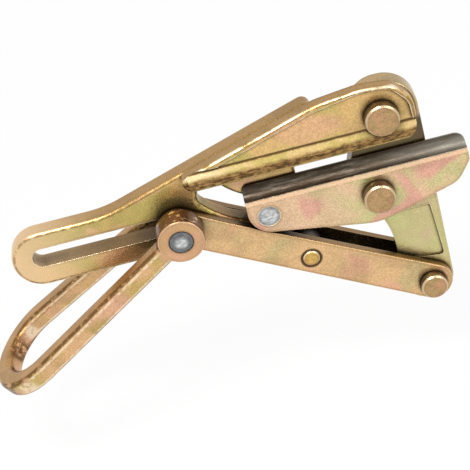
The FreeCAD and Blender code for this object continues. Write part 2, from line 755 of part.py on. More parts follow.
# The pulling bail: a flat forged loop with two thick eyes
def bail():
    body = new_body("bail")
    reach = size["bail_reach"]
    inner = size["crown_radius"] - size["rod_half"]
    outer = size["crown_radius"] + size["rod_half"]
    eye_mid = (EYE_INNER + EYE_OUTER) / 2
    rod_half = size["rod_half"]
    loop_outline = []
    legs = []
    for radius, side in ((outer, eye_mid + rod_half), (inner, eye_mid - rod_half)):
        touch = tangent_point((8.0, side), (reach, 0.0), radius)
        start = Vector(8.0, side, 0)
        legs.append(start)
        crest = Vector(reach + radius, 0, 0)
        loop_outline += [
            Part.LineSegment(start, Vector(touch[0], touch[1], 0)),
            Part.Arc(Vector(touch[0], touch[1], 0), crest, Vector(touch[0], -touch[1], 0)),
            Part.LineSegment(Vector(touch[0], -touch[1], 0), Vector(8.0, -side, 0)),
        ]
    loop_outline += [
        Part.LineSegment(legs[0], legs[1]),
        Part.LineSegment(Vector(8.0, -legs[0].y, 0), Vector(8.0, -legs[1].y, 0)),
    ]
    loop = sketch_on(body, "loop_outline", "XY_Plane", 0, loop_outline)
    pad(body, "loop", loop, "Sizes.bail_rod", symmetric=True)
    round_edges(
        body,
        "loop_rounding",
        lambda edge, point: abs(abs(edge.BoundBox.ZMin) - size["bail_rod"] / 2) < 0.01
        and abs(edge.BoundBox.ZMin - edge.BoundBox.ZMax) < 0.01
        and point.x > 8.01,
        "3.4",
    )
    for side, start in (("near", EYE_INNER), ("far", -EYE_OUTER)):
        ring = sketch_on(body, side + "_eye_circle", "XZ_Plane", start, [])
        round_hole(ring, (0.0, 0.0), "Sizes.eye_radius")
        pad(body, side + "_eye", ring, "Sizes.eye_depth")
    bore = sketch_on(body, "eye_bore_circle", "XZ_Plane", 0, [])
    round_hole(bore, (0.0, 0.0), "Sizes.bail_shank + Sizes.running_gap")
    pocket(body, "eye_bore", bore, "60", through=True, symmetric=True)
    seat_depth = size["bail_head_sink"] + size["side_gap"]
    for side, start in (("near", EYE_OUTER), ("far", -EYE_OUTER + seat_depth)):
        seat = sketch_on(body, side + "_seat_circle", "XZ_Plane", start, [])
        round_hole(seat, (0.0, 0.0), "Sizes.bail_head_radius + Sizes.side_gap")
        pocket(body, side + "_seat", seat, "Sizes.bail_head_sink + Sizes.side_gap")
    round_edges(
        body,
        "eye_rounding",
        lambda edge, point: (flat_at(edge, EYE_OUTER) or flat_at(edge, -EYE_OUTER))
        and math.hypot(point.x, point.z) > 9,
        "1",
    )
    body.Placement = Placement(
        Vector(BAIL_PIN[0], 0, BAIL_PIN[1]), Rotation(Vector(0, 1, 0), 180 - size["bail_tilt"])
    )
    return finish(body, "bail")


# A pin with a flat chamfered head on the near side and an upset far end
def headed_pin(label, centre, head, height, shank, face, far_face):
    washer = size["washer_depth"]
    pieces = [
        rod(label + "_head", centre, face - size[height], "Sizes." + head, "Sizes." + height),
        rod(label + "_shank", centre, face, "Sizes." + shank, f"{far_face + washer - face}"),
        rod(
            label + "_upset",
            centre,
            far_face + washer,
            f"Sizes.{shank} + 1.6",
            "Sizes.upset_height",
        ),
    ]
    turned = joined(label, pieces)
    ends = (face - size[height], far_face + washer + size["upset_height"])
    pin = chamfered(
        label,
        turned,
        lambda edge, point: any(flat_at(edge, end) for end in ends),
        "head_chamfer",
    )
    return finish(pin, label)


# A flat washer under the upset end of a pin
def washer(label, centre, shank, start):
    outer = rod(label + "_disc", centre, start, f"Sizes.{shank} + 3.6", "Sizes.washer_depth")
    inner = rod(label + "_hole", centre, start, f"Sizes.{shank}", "Sizes.washer_depth")
    return finish(bored(label, outer, inner), label)


def pins():
    far_lever = HALF_LEVER
    headed_pin(
        "upper_pivot_pin", UPPER_PIN, "upper_head_radius", "upper_head_height", "upper_shank",
        RECESS_FACE, far_lever + size["side_gap"],
    )
    washer("upper_pin_washer", UPPER_PIN, "upper_shank", far_lever + size["side_gap"])
    headed_pin(
        "jaw_pivot_pin", JAW_PIN, "jaw_head_radius", "jaw_head_height", "jaw_shank",
        JAW_FACE - size["side_gap"], far_lever,
    )
    washer("jaw_pin_washer", JAW_PIN, "jaw_shank", far_lever)
    headed_pin(
        "drawbar_pin", FOOT_PIN, "foot_head_radius", "foot_head_height", "foot_shank",
        -BAR_OUTER, BAR_OUTER,
    )
    washer("drawbar_pin_washer", FOOT_PIN, "foot_shank", BAR_OUTER)
    length = f"{2 * BAR_INNER}"
    outer = rod(
        "foot_sleeve_outer", FOOT_PIN, -BAR_INNER, "Sizes.foot_shank + Sizes.foot_sleeve", length
    )
    inner = rod("foot_sleeve_inner", FOOT_PIN, -BAR_INNER, "Sizes.foot_shank", length)
    finish(bored("drawbar_pin_sleeve", outer, inner), "drawbar_pin_sleeve")


# The guide rivet in the lower jaw, its bush in the curved window and its washer
def guide():
    seat = JAW_FACE + size["guide_head_depth"]
    washer_start = HALF_PLATE + size["side_gap"]
    washer_end = washer_start + size["washer_depth"]
    pieces = [
        cap("guide_dome", GUIDE_PIN, JAW_FACE, size["guide_head_radius"], 0.7, -1),
        rod("guide_head", GUIDE_PIN, JAW_FACE, "Sizes.guide_head_radius", "Sizes.guide_head_depth"),
        rod("guide_shank", GUIDE_PIN, seat, "Sizes.guide_shank", f"{washer_end - seat}"),
        rod("guide_upset", GUIDE_PIN, washer_end, "Sizes.guide_shank + 1.6", "Sizes.upset_height"),
    ]
    finish(joined("guide_rivet", pieces), "guide_rivet")
    bush_start = JAW_BACK
    bush_length = washer_start - bush_start
    outer = rod(
        "guide_bush_outer", GUIDE_PIN, bush_start,
        "Sizes.window_half - 2 * Sizes.running_gap", f"{bush_length}",
    )
    inner = rod("guide_bush_inner", GUIDE_PIN, bush_start, "Sizes.guide_shank", f"{bush_length}")
    finish(bored("guide_bush", outer, inner), "guide_bush")
    disc = rod("guide_washer_disc", GUIDE_PIN, washer_start, "Sizes.guide_washer_radius", "Sizes.washer_depth")
    hole = rod("guide_washer_hole", GUIDE_PIN, washer_start, "Sizes.guide_shank", "Sizes.washer_depth")
    finish(bored("guide_washer", disc, hole), "guide_washer")


# The bail rivet, domed at both ends, with its bush in the handle's slot and two washers
def bail_rivet():
    sink = size["bail_head_sink"]
    shank_end = EYE_OUTER - sink
    head = size["bail_head_radius"]
    pieces = [
        cap("bail_dome_near", BAIL_PIN, -EYE_OUTER, head, 1.3, -1),
        rod("bail_head_near", BAIL_PIN, -EYE_OUTER, "Sizes.bail_head_radius", "Sizes.bail_head_sink"),
        rod("bail_shank", BAIL_PIN, -shank_end, "Sizes.bail_shank", f"{2 * shank_end}"),
        rod("bail_head_far", BAIL_PIN, shank_end, "Sizes.bail_head_radius", "Sizes.bail_head_sink"),
        cap("bail_dome_far", BAIL_PIN, EYE_OUTER, head, 1.3, 1),
    ]
    finish(joined("bail_rivet", pieces), "bail_rivet")
    start = -HALF_PLATE + 0.2
    length = f"{-2 * start}"
    outer = rod("slot_bush_outer", BAIL_PIN, start, "Sizes.slot_bush_radius", length)
    inner = rod("slot_bush_inner", BAIL_PIN, start, "Sizes.bail_shank", length)
    finish(bored("slot_bush", outer, inner), "slot_bush")
    gap = BAR_OUTER + size["side_gap"]
    for side, start in (("near", -gap - size["eye_washer_depth"]), ("far", gap)):
        disc = rod(side + "_eye_disc", BAIL_PIN, start, "Sizes.eye_washer_radius", "Sizes.eye_washer_depth")
        hole = rod(side + "_eye_hole", BAIL_PIN, start, "Sizes.bail_shank", "Sizes.eye_washer_depth")
        finish(bored(side + "_eye_washer", disc, hole), side + "_eye_washer")


# The small rivet and the spacer that tie the drawbars together
def mid_rivet():
    head = size["mid_head_radius"]
    pieces = [
        cap("mid_dome_near", MID_PIN, -BAR_OUTER, head, 1.9, -1),
        rod("mid_shank", MID_PIN, -BAR_OUTER, "Sizes.mid_shank", f"{2 * BAR_OUTER}"),
        cap("mid_dome_far", MID_PIN, BAR_OUTER, head, 1.9, 1),
    ]
    finish(joined("mid_rivet", pieces), "mid_rivet")
    length = f"{2 * BAR_INNER}"
    outer = rod("mid_spacer_outer", MID_PIN, -BAR_INNER, "Sizes.mid_spacer_radius", length)
    inner = rod("mid_spacer_inner", MID_PIN, -BAR_INNER, "Sizes.mid_shank", length)
    finish(bored("mid_spacer", outer, inner), "mid_spacer")


grip_body()
swing_lever()
lower_jaw()
drawbar("near_drawbar", True)
drawbar("far_drawbar", False)
bail()
pins()
guide()
bail_rivet()
mid_rivet()
doc.recompute()

for item in doc.Objects:
    if "Invalid" in item.State or "Error" in item.State:
        raise RuntimeError(f"{item.Name} failed: {item.State}")
for item in subparts:
    if item.Shape.isNull() or not item.Shape.isValid() or len(item.Shape.Solids) != 1:
        raise RuntimeError(f"{item.Label} has no single valid solid")

os.makedirs("parts", exist_ok=True)
for item in subparts:
    item.Shape.exportStep(f"parts/{item.Label}.step")
    box = item.Shape.BoundBox
    print(
        f"{item.Label:20s} {item.Shape.Volume:10.1f} mm3"
        f"  x {box.XMin:7.1f} {box.XMax:7.1f}  y {box.YMin:6.1f} {box.YMax:6.1f}"
        f"  z {box.ZMin:7.1f} {box.ZMax:7.1f}"
    )
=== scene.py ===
import json
import math

import bmesh
import bpy
from mathutils import Matrix, Vector

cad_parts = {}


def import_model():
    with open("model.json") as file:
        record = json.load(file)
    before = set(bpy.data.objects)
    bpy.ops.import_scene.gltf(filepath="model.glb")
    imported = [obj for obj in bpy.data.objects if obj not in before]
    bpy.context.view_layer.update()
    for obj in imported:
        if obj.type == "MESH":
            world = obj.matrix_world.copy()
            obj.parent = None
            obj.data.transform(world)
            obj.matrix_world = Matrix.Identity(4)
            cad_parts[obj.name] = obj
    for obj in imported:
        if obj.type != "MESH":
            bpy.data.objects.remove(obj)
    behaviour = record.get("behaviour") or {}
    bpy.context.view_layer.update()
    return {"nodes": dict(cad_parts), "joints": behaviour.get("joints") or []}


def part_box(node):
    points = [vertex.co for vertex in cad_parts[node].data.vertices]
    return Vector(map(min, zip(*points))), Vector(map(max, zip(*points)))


# A parallel-jaw cable grip, forged and yellow plated, on a plain pale floor
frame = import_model()
NODES = frame["nodes"]

MM = 0.001


def middle(node):
    # The centre of a node's box
    low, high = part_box(node)
    return (low + high) / 2


# Centres of pins and rivets in the object's frame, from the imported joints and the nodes' boxes
HINGES = {joint["name"]: Vector(joint["pos_m"]) for joint in frame["joints"] if "pos_m" in joint}
JAW_PIN = HINGES["jaw_level"]
BAIL_PIN = HINGES["drawbar_tilt"]
GUIDE_PIN = middle("guide_rivet")
MID_PIN = middle("mid_rivet")

# Places on the forging in mm: depths of the web and of the upper jaw's sunk panel, heights
# of the lip's crease, brow, lower edge and groove, and the lip's nose along the cable
WEB_FACE = 4.0
PANEL_FACE = -2.0
LIP_CREASE = 16.6
LIP_BROW = 11.5
LIP_EDGE = 8.0
LIP_GROOVE = 6.6
LIP_NOSE = -112.0

# The lower jaw in mm: the height at which its groove begins, and the depth of its near face
JAW_GROOVE = JAW_PIN.z / MM + 13.3
JAW_FACE = -3.0

# Depths in mm just inside the faces that the two drawbars turn to each other
BAR_BACKS = (3.6, 16.4)


# Colours and nodes

SOFT = {"interpolation_type": "SMOOTHSTEP"}
COLOURS = {"data_type": "RGBA"}


def linear(hex_text):
    # An sRGB hex colour as linear RGBA
    values = [int(hex_text[i : i + 2], 16) / 255 for i in (0, 2, 4)]
    rgb = [v / 12.92 if v <= 0.04045 else ((v + 0.055) / 1.055) ** 2.4 for v in values]
    return (*rgb, 1.0)


def per_metre(size_mm):
    # A texture's scale from the real size of its features
    return 1000 / size_mm


def empty_tree(owner):
    # The node tree of a material or world, cleared
    owner.use_nodes = True
    owner.node_tree.nodes.clear()
    return owner.node_tree


def add(tree, kind, inputs=None, **settings):
    # A node with its settings. An input is a plain value, a hex colour, a socket, or a node
    # whose first live output it takes
    node = tree.nodes.new("ShaderNode" + kind)
    for name, value in settings.items():
        setattr(node, name, value)
    for key, value in (inputs or {}).items():
        if isinstance(value, bpy.types.Node):
            value = next(socket for socket in value.outputs if socket.enabled)
        if isinstance(value, bpy.types.NodeSocket):
            tree.links.new(value, node.inputs[key])
        else:
            node.inputs[key].default_value = linear(value) if isinstance(value, str) else value
    return node


# Shares: where on a piece a mark lies. Each one scales the share that it is given, so that
# they can be nested


def past(tree, place, axis, start_mm, end_mm, share=1.0, wander_mm=0.0):
    # What lies past a place on one axis, behind an edge that may wander
    here = place.outputs["Object"]
    spot = add(tree, "SeparateXYZ", {"Vector": here})
    ripple = add(tree, "TexNoise", {"Vector": here, "Scale": per_metre(4), "Detail": 3.0})
    far = wander_mm * MM
    wander = add(tree, "MapRange", {"Value": ripple, "To Min": -far, "To Max": far})
    reach = add(tree, "Math", {0: spot.outputs[axis], 1: wander}, operation="ADD")
    limits = {"From Min": start_mm * MM, "From Max": end_mm * MM, "To Max": share}
    return add(tree, "MapRange", {"Value": reach, **limits}, **SOFT)


def around(tree, place, centre, start_mm, end_mm, share):
    # What lies past a distance from a pin's axis, or within it where the end is the smaller
    here = place.outputs["Object"]
    flat = add(tree, "VectorMath", {0: here, 1: (1, 0, 1)}, operation="MULTIPLY")
    axis = (centre.x, 0, centre.z)
    far = add(tree, "VectorMath", {0: flat, 1: axis}, operation="DISTANCE")
    limits = {"From Min": start_mm * MM, "From Max": end_mm * MM, "To Max": share}
    return add(tree, "MapRange", {"Value": far, **limits}, **SOFT)


def turned_to(tree, place, axis, start, end, share=1.0):
    # What faces along an axis, either way, by more than a start and up to an end
    facing = add(tree, "SeparateXYZ", {"Vector": place.outputs["Normal"]})
    size = add(tree, "Math", {0: facing.outputs[axis]}, operation="ABSOLUTE")
    limits = {"From Min": start, "From Max": end, "To Max": share}
    return add(tree, "MapRange", {"Value": size, **limits}, **SOFT)


def bend(tree, radius_mm, start, end, share):
    # What lies within a radius of an edge: there the rounded normal leaves the plain one
    rounded = add(tree, "Bevel", {"Radius": radius_mm * MM}, samples=8)
    plain = add(tree, "NewGeometry").outputs["Normal"]
    match = add(tree, "VectorMath", {0: rounded, 1: plain}, operation="DOT_PRODUCT")
    return add(
        tree, "MapRange", {"Value": match, "From Min": start, "From Max": end, "To Max": share}
    )


# The yellow plated forgings, with their real sizes in mm

# The blasted grain, drawn coarser than the real one so that it shows, and its depth
GRAIN_SIZE = 0.8
GRAIN_DEPTH = 0.14

# The faint waves of the forged skin
WAVE_SIZE = 2.6

# How far an edge's crest, wear with a painted highlight, and its brown flank of painted dark
# reflection reach, and the radius that softens it
CREST_REACH = 1.7
FLANK_REACH = 3.6
EDGE_RADIUS = 0.5

# How near another surface has to be for painted shade in a corner, and in a hollow
CORNER_REACH = 2.4
HOLLOW_REACH = 20


def plated_forging(name, tones, patch_mm, seed, marks=()):
    # Forged steel, shot blasted and zinc plated with a yellow chromate. To the eye it is a
    # satin gold whose film wanders in thickness, so straw, green and rose blotches run into
    # each other over a fine blasted grain. Each edge has a bright crest, rubbed wear with a
    # painted highlight, beside a browner flank of painted dark reflection, and hollows and the
    # corners where two surfaces meet take painted shade as a dark brown line.
    material = bpy.data.materials.new(name)
    tree = empty_tree(material)
    place = add(tree, "TexCoord")
    where = add(tree, "Mapping", {"Vector": place.outputs["Object"], "Location": seed})
    blasting = {"Scale": per_metre(GRAIN_SIZE), "Detail": 3.0, "Roughness": 0.7}
    grain = add(tree, "TexNoise", {"Vector": where, **blasting})
    corner = add(tree, "AmbientOcclusion", {"Distance": CORNER_REACH * MM}, samples=8)
    colour = film_colour(tree, place, where, grain, tones, patch_mm)
    colour = edge_wear_and_sheen(tree, place, where, corner.outputs["AO"], tones, colour)
    satin = {"From Min": 0.3, "From Max": 0.7, "To Min": 0.22, "To Max": 0.42}
    rough = add(tree, "MapRange", {"Value": grain, **satin})
    for mark in marks:
        colour, rough = mark(tree, place, colour, rough)
    colour = painted_corner_shade(tree, corner.outputs["AO"], tones, colour)
    waves = add(tree, "TexNoise", {"Vector": where, "Scale": per_metre(WAVE_SIZE)})
    relief = add(tree, "Math", {0: grain, 1: 0.5, 2: waves}, operation="MULTIPLY_ADD")
    edge = add(tree, "Bevel", {"Radius": EDGE_RADIUS * MM}, samples=6)
    height = {"Height": relief, "Distance": GRAIN_DEPTH * MM, "Strength": 0.9}
    skin = add(tree, "Bump", {**height, "Normal": edge})
    finish = {"Base Color": colour, "Metallic": 0.88, "Roughness": rough, "Normal": skin}
    add(tree, "OutputMaterial", {"Surface": add(tree, "BsdfPrincipled", finish)})
    return material


def film_colour(tree, place, where, grain, tones, patch_mm):
    # The chromate film: blotches of three tints, a darker tan where it faces up as painted
    # shade, under soft clouds of painted reflection and the flecks of the grain
    blots = {"Scale": per_metre(patch_mm), "Detail": 3.0, "Roughness": 0.45, "Distortion": 0.7}
    thick = add(tree, "TexNoise", {"Vector": where, **blots})
    green = add(tree, "MapRange", {"Value": thick, "From Min": 0.42, "From Max": 0.6}, **SOFT)
    tints = {"Factor": green, "A": tones["straw"], "B": tones["green"]}
    colour = add(tree, "Mix", tints, **COLOURS)
    blots = {"Scale": per_metre(patch_mm * 0.8), "Distortion": 1.1, "Roughness": 0.3}
    blush = add(tree, "TexNoise", {"Vector": where, **blots})
    rose = add(tree, "MapRange", {"Value": blush, "From Min": 0.5, "From Max": 0.66}, **SOFT)
    colour = add(tree, "Mix", {"Factor": rose, "A": colour, "B": tones["rose"]}, **COLOURS)
    # Faces that turn up take the darker tan: painted shade of the tops
    height = add(tree, "SeparateXYZ", {"Vector": place.outputs["Normal"]}).outputs["Z"]
    up = add(tree, "MapRange", {"Value": height, "From Min": 0.25, "From Max": 0.9}, **SOFT)
    colour = add(tree, "Mix", {"Factor": up, "A": colour, "B": tones["tan"]}, **COLOURS)
    flecks = {"From Min": 0.36, "From Max": 0.64, "To Min": 0.77, "To Max": 1.17}
    fleck = add(tree, "MapRange", {"Value": grain, **flecks})
    # Soft clouds of painted reflection that dim the film here and there
    reflection_cloud_size = {"Scale": per_metre(patch_mm * 0.55), "Distortion": 0.5}
    reflection_cloud = add(tree, "TexNoise", {"Vector": where, **reflection_cloud_size})
    shading = {"From Min": 0.34, "From Max": 0.56, "To Min": 0.85, "To Max": 1.02}
    reflection_cloud = add(tree, "MapRange", {"Value": reflection_cloud, **shading}, **SOFT)
    level = add(tree, "Math", {0: fleck, 1: reflection_cloud}, operation="MULTIPLY")
    return add(tree, "VectorMath", {0: colour, "Scale": level}, operation="SCALE")


def edge_wear_and_sheen(tree, place, where, corner, tones, colour):
    # A brown flank along each edge that is a painted dark reflection, and a patchy bright
    # crest, wear with a painted highlight, that stays out of corners and off flat tops
    dark_reflection_flank = bend(tree, FLANK_REACH, 0.998, 0.93, 0.62)
    colour = add(tree, "Mix", {"Factor": dark_reflection_flank, "A": colour, "B": tones["dark_reflection_flank"]}, **COLOURS)
    clear = add(tree, "MapRange", {"Value": corner, "From Min": 0.6, "From Max": 0.88}, **SOFT)
    patchy = add(tree, "TexNoise", {"Vector": where, "Scale": per_metre(3.5)})
    kept = {"From Min": 0.3, "From Max": 0.62, "To Min": 0.2, "To Max": clear}
    kept = add(tree, "MapRange", {"Value": patchy, **kept})
    height = add(tree, "SeparateXYZ", {"Vector": place.outputs["Normal"]}).outputs["Z"]
    slant = {"Value": height, "From Min": 0.93, "From Max": 0.7, "To Max": kept}
    crest = bend(tree, CREST_REACH, 0.985, 0.84, add(tree, "MapRange", slant, **SOFT))
    return add(tree, "Mix", {"Factor": crest, "A": colour, "B": tones["worn_and_highlight"]}, **COLOURS)


def painted_corner_shade(tree, corner, tones, colour):
    # Painted shade that thickens in hollows and in the corners where two surfaces meet
    hollow = add(tree, "AmbientOcclusion", {"Distance": HOLLOW_REACH * MM}, samples=8)
    for open_share, start, end, depth in (
        (hollow.outputs["AO"], 0.88, 0.34, 0.96),
        (corner, 0.9, 0.5, 0.9),
    ):
        limits = {"From Min": start, "From Max": end, "To Max": depth}
        dim = add(tree, "MapRange", {"Value": open_share, **limits}, **SOFT)
        colour = add(tree, "Mix", {"Factor": dim, "A": colour, "B": tones["shade"]}, **COLOURS)
    return colour


# Marks on the forgings. Each gives a function that paints over a colour and a roughness


def drift(axis, start_mm, end_mm, hex_text, strength):
    # A film that turns slowly to another tint along a piece
    def paint(tree, place, colour, rough):
        share = past(tree, place, axis, start_mm, end_mm, strength, 3.0)
        return add(tree, "Mix", {"Factor": share, "A": colour, "B": hex_text}, **COLOURS), rough

    return paint


def ring_mark(centre, inner_mm, outer_mm, hex_text, strength, blur_mm=0.5):
    # A ring of another colour about a pin, such as the shade round a sunk rivet head
    def paint(tree, place, colour, rough):
        inside = around(tree, place, centre, inner_mm - blur_mm, inner_mm + blur_mm, strength)
        share = around(tree, place, centre, outer_mm + blur_mm, outer_mm - blur_mm, inside)
        return add(tree, "Mix", {"Factor": share, "A": colour, "B": hex_text}, **COLOURS), rough

    return paint


def eye_side(centre, reach_mm):
    # The side of a forged eye: dark red-brown, with bright spots of painted highlight
    def paint(tree, place, colour, rough):
        near = around(tree, place, centre, reach_mm + 2, reach_mm, 0.92)
        share = turned_to(tree, place, "Y", 0.75, 0.4, near)
        scale = {"Vector": place.outputs["Object"], "Scale": per_metre(3.4), "Detail": 3.0}
        spots = add(tree, "TexNoise", scale)
        highlight_spot = add(tree, "MapRange", {"Value": spots, "From Min": 0.56, "From Max": 0.68}, **SOFT)
        side = add(tree, "Mix", {"Factor": highlight_spot, "A": "6F4A30", "B": "E6C49A"}, **COLOURS)
        return add(tree, "Mix", {"Factor": share, "A": colour, "B": side}, **COLOURS), rough

    return paint


def painted_edge_reflections(*streaks):
    # Broken streaks along the rounded edges of a rod or plate, painted dark reflection and
    # painted highlight. Each has how far the metal turns to the near or far side where it
    # starts, is full, fades and ends, then its strength and its colour
    def paint(tree, place, colour, rough):
        scale = {"Vector": place.outputs["Object"], "Scale": per_metre(3), "Detail": 4.0}
        breaks = add(tree, "TexNoise", scale)
        for start, full, fade, end, strength, hex_text in streaks:
            share = turned_to(tree, place, "Y", start, full, strength)
            share = turned_to(tree, place, "Y", end, fade, share)
            broken = {"Value": breaks, "From Min": 0.32, "From Max": 0.54, "To Max": share}
            share = add(tree, "MapRange", broken, **SOFT)
            colour = add(tree, "Mix", {"Factor": share, "A": colour, "B": hex_text}, **COLOURS)
        return colour, rough

    return paint


def shaded_band(low_mm, high_mm, hex_text, strength):
    # A dark band right round a piece between two heights: painted shadow with some grease,
    # such as where the lever stands behind the jaws' gap
    def paint(tree, place, colour, rough):
        over = past(tree, place, "Z", low_mm - 4, low_mm, strength, 1.0)
        share = past(tree, place, "Z", high_mm + 2, high_mm - 2, over, 1.0)
        return add(tree, "Mix", {"Factor": share, "A": colour, "B": hex_text}, **COLOURS), rough

    return paint


def shaded_inner_faces(low_mm, high_mm):
    # The sides that two bars turn to each other, between two depths, in painted shade with smears
    def paint(tree, place, colour, rough):
        front = past(tree, place, "Y", low_mm, low_mm + 0.1, 0.93)
        share = past(tree, place, "Y", high_mm, high_mm - 0.1, front)
        smears = {"Scale": per_metre(5), "Detail": 4.0, "Distortion": 1.5}
        smear = add(tree, "TexNoise", {"Vector": place.outputs["Object"], **smears})
        thin = {"Value": smear, "From Min": 0.5, "From Max": 0.7, "To Max": 0.8}
        thin = add(tree, "MapRange", thin, **SOFT)
        dark_smear = add(tree, "Mix", {"Factor": thin, "A": "5A482E", "B": "9A8560"}, **COLOURS)
        return add(tree, "Mix", {"Factor": share, "A": colour, "B": dark_smear}, **COLOURS), rough

    return paint


def gripping_face(start_mm, end_mm, deepest_mm=100.0):
    # A gripping groove past a height: blackened, with grey streaks drawn along the cable,
    # greyer towards the open end of the jaws, partly wear and partly a painted highlight
    def paint(tree, place, colour, rough):
        here = place.outputs["Object"]
        near = past(tree, place, "Y", deepest_mm + 0.1, deepest_mm - 0.1, 0.96)
        share = past(tree, place, "Z", start_mm, end_mm, near, 0.3)
        drawn = add(tree, "Mapping", {"Vector": here, "Scale": (0.12, 1.0, 1.0)})
        streaks = {"Scale": per_metre(1.6), "Detail": 4.0, "Roughness": 0.7}
        streak = add(tree, "TexNoise", {"Vector": drawn, **streaks})
        grey = add(tree, "MapRange", {"Value": streak, "From Min": 0.42, "From Max": 0.7}, **SOFT)
        black = add(tree, "Mix", {"Factor": grey, "A": "25221D", "B": "77736A"}, **COLOURS)
        blotch = add(tree, "TexNoise", {"Vector": here, "Scale": per_metre(12), "Detail": 3.0})
        dark_smear = {"Value": blotch, "From Min": 0.46, "From Max": 0.66, "To Max": 0.6}
        dark_smear = add(tree, "MapRange", dark_smear, **SOFT)
        black = add(tree, "Mix", {"Factor": dark_smear, "A": black, "B": "3B342A"}, **COLOURS)
        # Greyer towards the open end: partly wear, partly a painted highlight
        worn_and_highlight = past(tree, place, "X", -28, 42, 0.6, 3.0)
        black = add(tree, "Mix", {"Factor": worn_and_highlight, "A": black, "B": "908D83"}, **COLOURS)
        colour = add(tree, "Mix", {"Factor": share, "A": colour, "B": black}, **COLOURS)
        return colour, add(tree, "Mix", {"Factor": share, "A": rough, "B": 0.5})

    return paint


def jaw_edge_highlight(top_mm, face_mm):
    # The rounded near edge under the lower jaw's groove, a pale rose line of painted highlight
    def paint(tree, place, colour, rough):
        near = past(tree, place, "Y", face_mm + 2.5, face_mm + 1.5, 0.75)
        over = past(tree, place, "Z", top_mm - 2.0, top_mm - 1.1, near, 0.4)
        share = past(tree, place, "Z", top_mm + 0.3, top_mm - 0.1, over, 0.3)
        return add(tree, "Mix", {"Factor": share, "A": colour, "B": "EAC6A2"}, **COLOURS), rough

    return paint


def jaw_lip(tree, place, colour, rough):
    # The near face of the upper jaw's lip: a dark crease line of painted shade, a brassy slope
    # with a painted highlight at the nose, and a brown band of painted shade above a paler lower
    # edge
    here = place.outputs["Object"]
    near = past(tree, place, "Y", PANEL_FACE - 0.2, PANEL_FACE - 0.7)
    slope = past(tree, place, "Z", LIP_CREASE, LIP_CREASE - 0.3, near)
    slope = add(tree, "Math", {0: slope, 1: 0.8}, operation="MULTIPLY")
    wander = add(tree, "TexNoise", {"Vector": here, "Scale": per_metre(11), "Detail": 3.0})
    green = add(tree, "MapRange", {"Value": wander, "From Min": 0.42, "From Max": 0.6}, **SOFT)
    brass = add(tree, "Mix", {"Factor": green, "A": "E2C487", "B": "CCB96E"}, **COLOURS)
    colour = add(tree, "Mix", {"Factor": slope, "A": colour, "B": brass}, **COLOURS)
    gleam = past(tree, place, "X", LIP_NOSE + 46, LIP_NOSE + 8, slope, 3.0)
    gleam = past(tree, place, "Z", LIP_BROW + 0.6, LIP_BROW + 3.2, gleam, 1.4)
    colour = add(tree, "Mix", {"Factor": gleam, "A": colour, "B": "F3DCAB"}, **COLOURS)
    drawn = add(tree, "Mapping", {"Vector": here, "Scale": (0.35, 1.0, 1.0)})
    lip_band_grain = {"Scale": per_metre(1.5), "Detail": 3.0, "Roughness": 0.7}
    fine = add(tree, "TexNoise", {"Vector": drawn, **lip_band_grain})
    fleck = add(tree, "MapRange", {"Value": fine, "From Min": 0.36, "From Max": 0.68}, **SOFT)
    shaded_brown = add(tree, "Mix", {"Factor": fleck, "A": "5A4226", "B": "B08A54"}, **COLOURS)
    lip_shade_band = past(tree, place, "Z", LIP_BROW + 2.6, LIP_BROW + 0.2, near, 0.9)
    lip_shade_band = past(tree, place, "Z", LIP_EDGE - 0.6, LIP_EDGE + 0.6, lip_shade_band, 0.4)
    colour = add(tree, "Mix", {"Factor": lip_shade_band, "A": colour, "B": shaded_brown}, **COLOURS)
    front = past(tree, place, "Y", PANEL_FACE + 0.5, PANEL_FACE + 0.2, 0.9)
    crease_shade = past(tree, place, "Z", LIP_CREASE - 0.7, LIP_CREASE - 0.2, front, 0.1)
    crease_shade = past(tree, place, "Z", LIP_CREASE + 1.1, LIP_CREASE + 0.5, crease_shade, 0.1)
    return add(tree, "Mix", {"Factor": crease_shade, "A": colour, "B": "5A4322"}, **COLOURS), rough


def ridge_gleam(tree, place, colour, rough):
    # A painted highlight on the crest of the upper jaw's round top edge, which stands in front of
    # the web
    front = past(tree, place, "Y", WEB_FACE - 4.0, WEB_FACE - 4.3, 0.85)
    high = past(tree, place, "Z", LIP_CREASE + 0.6, LIP_CREASE + 1.1, front)
    leaning = turned_to(tree, place, "Z", 0.42, 0.62, high)
    slant = turned_to(tree, place, "Z", 0.97, 0.85, leaning)
    patchy = add(tree, "TexNoise", {"Vector": place.outputs["Object"], "Scale": per_metre(7)})
    limits = {"From Min": 0.34, "From Max": 0.66, "To Max": slant}
    share = add(tree, "MapRange", {"Value": patchy, **limits}, **SOFT)
    return add(tree, "Mix", {"Factor": share, "A": colour, "B": "F7E4BE"}, **COLOURS), rough


def turned_head(tree, place, colour, rough):
    # A pin head: browner round its side as painted shade, with a bright turned chamfer round its
    # flat face that is partly a painted highlight
    scale = {"Vector": place.outputs["Object"], "Scale": per_metre(4), "Detail": 3.0}
    wander = add(tree, "TexNoise", scale)
    green = add(tree, "MapRange", {"Value": wander, "From Min": 0.4, "From Max": 0.62}, **SOFT)
    side = add(tree, "Mix", {"Factor": green, "A": "735640", "B": "8F8460"}, **COLOURS)
    share = turned_to(tree, place, "Y", 0.5, 0.25)
    colour = add(tree, "Mix", {"Factor": share, "A": colour, "B": side}, **COLOURS)
    chamfer = turned_to(tree, place, "Y", 0.5, 0.68, 0.55)
    chamfer = turned_to(tree, place, "Y", 0.93, 0.8, chamfer)
    return add(tree, "Mix", {"Factor": chamfer, "A": colour, "B": "E3CBA6"}, **COLOURS), rough


# Plain metal finishes

# Each bright rivet's centre, the radii in mm between which its rim is darkened with painted
# shade, and by how much, and the radii over which that fades out past any rivet
BRIGHT_HEADS = ((GUIDE_PIN, 3.6, 5.2, 0.5), (BAIL_PIN, 1.8, 4.6, 0.8))
RIVET_ENDS = (9, 7)


